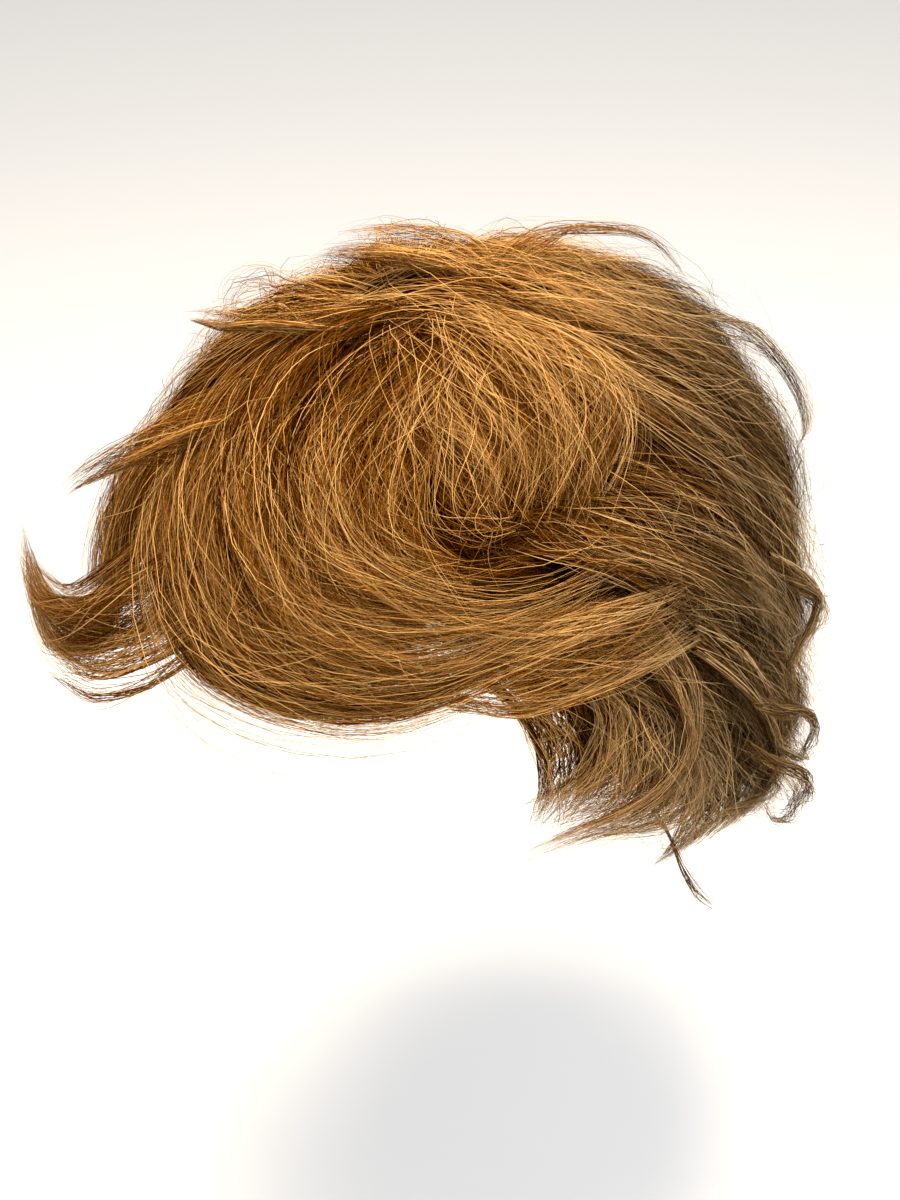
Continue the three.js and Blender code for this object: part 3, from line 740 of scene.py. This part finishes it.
# Side hair
# Hair tied in rows down each side, its gold turning towards the left and back to an ash brown of painted
# cool light, laid back over the ear in shingled layers, with a thin sideburn before the ear and curls that
# turn forward under it. Loose waves and rings stand off the left.
RIGHT_SHARE = 0.65
SIDE_PADS = {
    "left": {"from": 48.5, "to": 122, "top": 30.5, "low": 180},
    "right": {"from": -122, "to": -48.5, "top": 30.5, "low": 180},
}
SIDE_SWEEPS = {
    "upper": {
        "locks": 4, "thick": 9, "free": 0.2, "gather": 0,
        "strands": 2100, "spans": 10, "root": 0.1, "loose": 1.2, "wave": 0.005, "spill": (0.5, 0.8),
        "reach": (1.04, 1.04), "point": 0.45, "light": -0.02, "shade": 0.6, "tips": 0.14,
        "first": [(36, 27, 6), (44, 21, 14), (54, 13, 20), (66, 3, 23), (78, -9, 22)],
        "last": [(33, -15, 6), (46, -23, 14), (60, -34, 20), (74, -46, 24), (86, -57, 25)],
    },
    "middle": {
        "locks": 4, "thick": 9, "free": 0.25, "gather": 0,
        "strands": 1950, "spans": 10, "root": 0.1, "loose": 1.5, "wave": 0.004, "spill": (0.5, 0.9),
        "reach": (1.04, 1.04), "point": 0.45, "light": -0.04, "shade": 0.45, "tips": 0.14,
        "first": [(53, 35, 6), (62, 26, 9), (74, 14, 12), (87, 3, 19), (97, -6, 23)],
        "last": [(56, -26, 6), (68, -36, 9), (80, -46, 16), (92, -54, 29), (102, -58, 38)],
    },
    "sideburn": {
        "locks": 2, "thick": 5, "free": 0.3, "gather": 0,
        "strands": 520, "spans": 10, "root": 0.1, "loose": 1.3, "wave": 0, "spill": (0.4, 1.2),
        "reach": (1.04, 1.04), "point": 0.5, "light": 0.05, "shade": 0.1, "tips": 0.14,
        "first": [(58, 46, 6), (67, 44, 8), (78, 45, 11), (87, 51, 12), (94, 63, 10)],
        "last": [(68, 33, 6), (78, 31, 8), (88, 34, 10), (95, 42, 11), (99, 54, 10)],
    },
    "ear_curl": {
        "locks": 4, "thick": 9, "free": 0.3, "gather": 0,
        "strands": 1700, "spans": 13, "root": 0.1, "loose": 1.2, "wave": 0.0035, "spill": (0.5, 0.4),
        "reach": (1.06, 1.06), "point": 0.55, "light": 0.18, "shade": 0.2, "tips": 0.16,
        "first": [(61, 39, 6), (73, 31, 10), (82, 28, 16), (87, 38, 19), (82, 60, 15)],
        "last": [(76, 20, 6), (88, 10, 10), (101, 5, 19), (106, 18, 25), (96, 50, 21)],
    },
    "behind_ear": {
        "locks": 4, "thick": 9, "free": 0.35, "gather": 0,
        "strands": 1500, "spans": 12, "root": 0.1, "loose": 1.5, "wave": 0.006, "spill": (0.5, 1.1),
        "reach": (1.04, 1.04), "point": 0.65, "light": 0.27, "shade": 0.2, "tips": 0.14,
        "first": [(80, 2, 6), (93, -5, 11), (107, -9, 22), (117, 0, 29), (119, 18, 30)],
        "last": [(74, -44, 6), (84, -53, 13), (94, -60, 26), (104, -64, 40), (114, -52, 48)],
    },
}
SIDE_WISPS = {
    "ear_wave": {
        "strands": 240, "spread": 3, "light": 0.2, "point": 0.4,
        "stations": [(65, 17, 20), (80, 11, 25), (92, 16, 29), (93, 34, 29), (84, 62, 25)],
    },
    "edge_wave": {
        "strands": 80, "spread": 1.0, "light": 0.1, "point": 0.8,
        "stations": [(66, -20, 28), (72, -31, 36), (77, -27, 37), (84, -15, 38), (94, -22, 42)],
    },
    "high_ring": {
        "strands": 70, "spread": 0.9, "light": 0.12, "point": 0.85,
        "stations": [
            (85, -2, 38), (89, -10, 40), (91, -20, 42), (96, -34, 43), (101, -31, 42), (97, -14, 41),
            (92, -8, 41),
        ],
    },
    "low_ring": {
        "strands": 80, "spread": 0.9, "light": 0.12, "point": 0.85,
        "stations": [
            (91, 3, 40), (97, -7, 44), (101, -20, 46), (106, -36, 47), (112, -33, 46), (110, -16, 45),
            (102, -4, 44),
        ],
    },
    "forward_curl": {
        "strands": 220, "spread": 2.5, "light": 0.1, "point": 0.5,
        "stations": [(72, 5, 24), (86, -10, 30), (101, -26, 35), (110, -20, 37), (107, 6, 35)],
    },
    "hanging_tip": {
        "strands": 26, "spread": 0.5, "light": 0.1, "point": 0.8,
        "stations": [(102, 24, 20), (112, 16, 28), (121, 9, 34), (128, -2, 40), (131, -14, 47)],
    },
    "temple_loop": {
        "strands": 60, "spread": 1.5, "light": 0.1, "point": 0.8,
        "stations": [(65, -22, 22), (71, -37, 29), (73, -52, 31), (79, -44, 30), (82, -32, 27)],
    },
    "ear_loop": {
        "strands": 60, "spread": 1.5, "light": 0.1, "point": 0.8,
        "stations": [(84, -20, 24), (88, -46, 31), (94, -56, 33), (101, -52, 33), (106, -40, 34)],
    },
}


def mirrored(sweep, share):
    """The same sweep on the wearer's right, with a share of its strands"""
    flipped = {
        edge: [(-side, front, lift) for side, front, lift in sweep[edge]]
        for edge in ("first", "last")
    }
    return {**sweep, **flipped, "strands": int(sweep["strands"] * share)}


ash_brown_hair = drawn_hair("ash_brown_hair")
right_sweeps = {name: mirrored(sweep, RIGHT_SHARE) for name, sweep in SIDE_SWEEPS.items()}
for side, sweeps, wisps, seed in (("left", SIDE_SWEEPS, SIDE_WISPS, 13), ("right", right_sweeps, {}, 14)):
    hair = hair_piece(side + "_side_strands", SIDE_PADS[side], sweeps, wisps, seed, cool_lit=(0.0, 0.09))
    hair.data.materials.append(ash_brown_hair)
    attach(hair, "root")
    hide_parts(side + "_side_hair")

# Back hair
# Hair tied in rows behind the crown, mostly an ash brown of painted cool light, lying down over the back of
# the head in broad layers.
BACK_PAD = {"from": 122.5, "to": 237.5, "top": 30.5, "low": 84}
BACK_SWEEPS = {
    "upper_back": {
        "locks": 6, "thick": 9, "free": 0.25, "gather": 0,
        "strands": 5200, "spans": 10, "root": 0.1, "loose": 1.2, "wave": 0.002, "spill": (0.9, 0.9),
        "reach": (1.04, 1.04), "point": 0.35, "light": 0, "shade": 0.2, "tips": 0.14,
        "first": [(38, -30, 6), (50, -46, 13), (60, -62, 18), (67, -76, 22), (72, -88, 22)],
        "last": [(-38, -30, 6), (-50, -46, 13), (-60, -62, 18), (-67, -76, 22), (-72, -88, 22)],
    },
}
back = hair_piece("back_strands", BACK_PAD, BACK_SWEEPS, {}, seed=15, cool_lit=(-0.05, 0.05))
back.data.materials.append(ash_brown_hair)
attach(back, "root")
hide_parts("back_hair")

# Nape hair
# The lowest rows of hair, mostly an ash brown of painted cool light, tied across the nape and flicked out
# to the sides at their ends.
NAPE_PAD = {"from": 122.5, "to": 237.5, "top": 84.5, "low": 180}
NAPE_SWEEPS = {
    "left_nape": {
        "locks": 3, "thick": 9, "free": 0.35, "gather": 0,
        "strands": 2400, "spans": 11, "root": 0.1, "loose": 1.5, "wave": 0.004, "spill": (0.9, 0.6),
        "reach": (1.04, 1.04), "point": 0.6, "light": 0, "shade": 0.2, "tips": 0.14,
        "first": [(67, -66, 6), (73, -73, 11), (78, -79, 22), (83, -85, 36), (91, -87, 46)],
        "last": [(9, -94, 6), (9, -103, 10), (10, -111, 20), (11, -118, 33), (15, -122, 43)],
    },
}
NAPE_SWEEPS["right_nape"] = mirrored(NAPE_SWEEPS["left_nape"], 1)
nape = hair_piece("nape_strands", NAPE_PAD, NAPE_SWEEPS, {}, seed=16, cool_lit=(-0.05, 0.05))
nape.data.materials.append(ash_brown_hair)
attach(nape, "root")
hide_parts("nape_hair")

# Studio
# A pale floor well below the wig, one warm soft lamp overhead, a cooler one from the left of the wig, and
# an even sky. The camera stands before the wig's left brow and looks down on the crown.
FLOOR_DROP = 0.45
FLOOR_HALF = 40
FLOOR_COLOUR = (0.93, 0.93, 0.93, 1.0)
SKY_COLOUR = (1.0, 0.98, 0.96, 1.0)
SKY_STRENGTH = 0.7
CAMERA_AIM = Vector((0, 0, -0.1))
CAMERA_AZIMUTH = math.radians(46)
CAMERA_ELEVATION = math.radians(34.5)
CAMERA_ROLL = math.radians(-1)
CAMERA_DISTANCE = 0.54
CAMERA_LENS = 47.7
CAMERA_SHIFT = (-0.0217, -0.0138)
corners = [(x * FLOOR_HALF, y * FLOOR_HALF, -FLOOR_DROP) for x, y in ((-1, -1), (1, -1), (1, 1), (-1, 1))]
floor_mesh = bpy.data.meshes.new("floor")
floor_mesh.from_pydata(corners, [], [(0, 1, 2, 3)])
floor = bpy.data.objects.new("floor", floor_mesh)
bpy.context.scene.collection.objects.link(floor)
pale = bpy.data.materials.new("pale_floor")
pale.use_nodes = True
pale.node_tree.nodes["Principled BSDF"].inputs["Base Color"].default_value = FLOOR_COLOUR
pale.node_tree.nodes["Principled BSDF"].inputs["Roughness"].default_value = 0.9
floor.data.materials.append(pale)

world = bpy.data.worlds.new("even_sky")
world.use_nodes = True
world.node_tree.nodes["Background"].inputs["Color"].default_value = SKY_COLOUR
world.node_tree.nodes["Background"].inputs["Strength"].default_value = SKY_STRENGTH
bpy.context.scene.world = world
lamps = [
    {"name": "warm_key", "place": (0.1, -0.12, 1.1), "size": 0.5, "power": 25, "colour": (1.0, 0.86, 0.66)},
    {"name": "cool_fill", "place": (0.9, 0.1, 0.45), "size": 0.6, "power": 6, "colour": (0.86, 0.93, 1.0)},
]
for row in lamps:
    lamp = bpy.data.lights.new(row["name"], "AREA")
    lamp.size = row["size"]
    lamp.energy = row["power"]
    lamp.color = row["colour"]
    stand = bpy.data.objects.new(row["name"], lamp)
    stand.location = row["place"]
    stand.rotation_euler = (Vector(row["place"]) - CAMERA_AIM).to_track_quat("Z", "Y").to_euler()
    bpy.context.scene.collection.objects.link(stand)

back_from_aim = Vector((
    math.sin(CAMERA_AZIMUTH) * math.cos(CAMERA_ELEVATION),
    -math.cos(CAMERA_AZIMUTH) * math.cos(CAMERA_ELEVATION),
    math.sin(CAMERA_ELEVATION),
))
lens = bpy.data.cameras.new("camera")
lens.lens = CAMERA_LENS
lens.shift_x, lens.shift_y = CAMERA_SHIFT
lens.clip_start = 0.01
camera = bpy.data.objects.new("camera", lens)
camera.location = CAMERA_AIM + back_from_aim * CAMERA_DISTANCE
turned = back_from_aim.to_track_quat("Z", "Y") @ Quaternion((0, 0, 1), CAMERA_ROLL)
camera.rotation_euler = turned.to_euler()
bpy.context.scene.collection.objects.link(camera)
bpy.context.scene.camera = camera
bpy.context.scene.view_settings.view_transform = "Standard"
